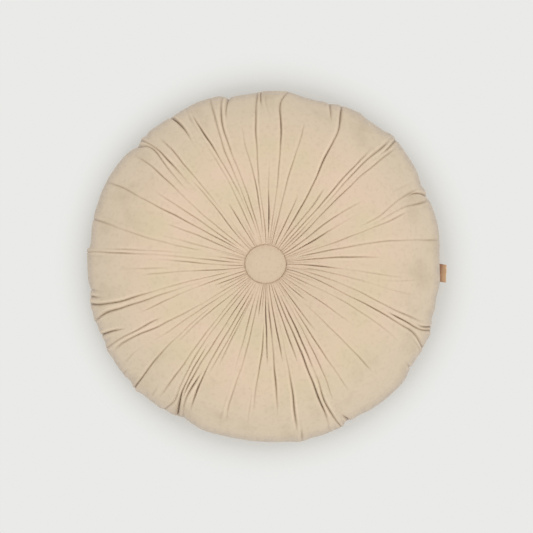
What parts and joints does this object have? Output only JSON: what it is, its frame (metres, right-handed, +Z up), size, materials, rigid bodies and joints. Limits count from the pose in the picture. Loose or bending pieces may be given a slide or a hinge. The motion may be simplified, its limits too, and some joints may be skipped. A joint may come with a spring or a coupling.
{
  "type": "round gathered velvet cushion",
  "caption": "Round filled scatter cushion, gathered on both faces to a covered button drawn into the middle, with a rim seam and a small side tab.",
  "frame": {"origin": "on the surface that the cushion lies on, under the middle of its box", "axes": "+Z up out of the front face along the buttons' axis, +X towards the side with the tab, +Y towards the top of the front view"},
  "size_m": [0.4098, 0.3974, 0.1184],
  "materials": {
    "velvet": "matt cotton velvet in warm sand, short pile with a faint nap",
    "tab": "smooth tan imitation leather, bare"
  },
  "bodies": {
    "root": {"cushion": "velvet", "front_button": "velvet", "back_button": "velvet", "label": "tab"}
  },
  "joints": []
}
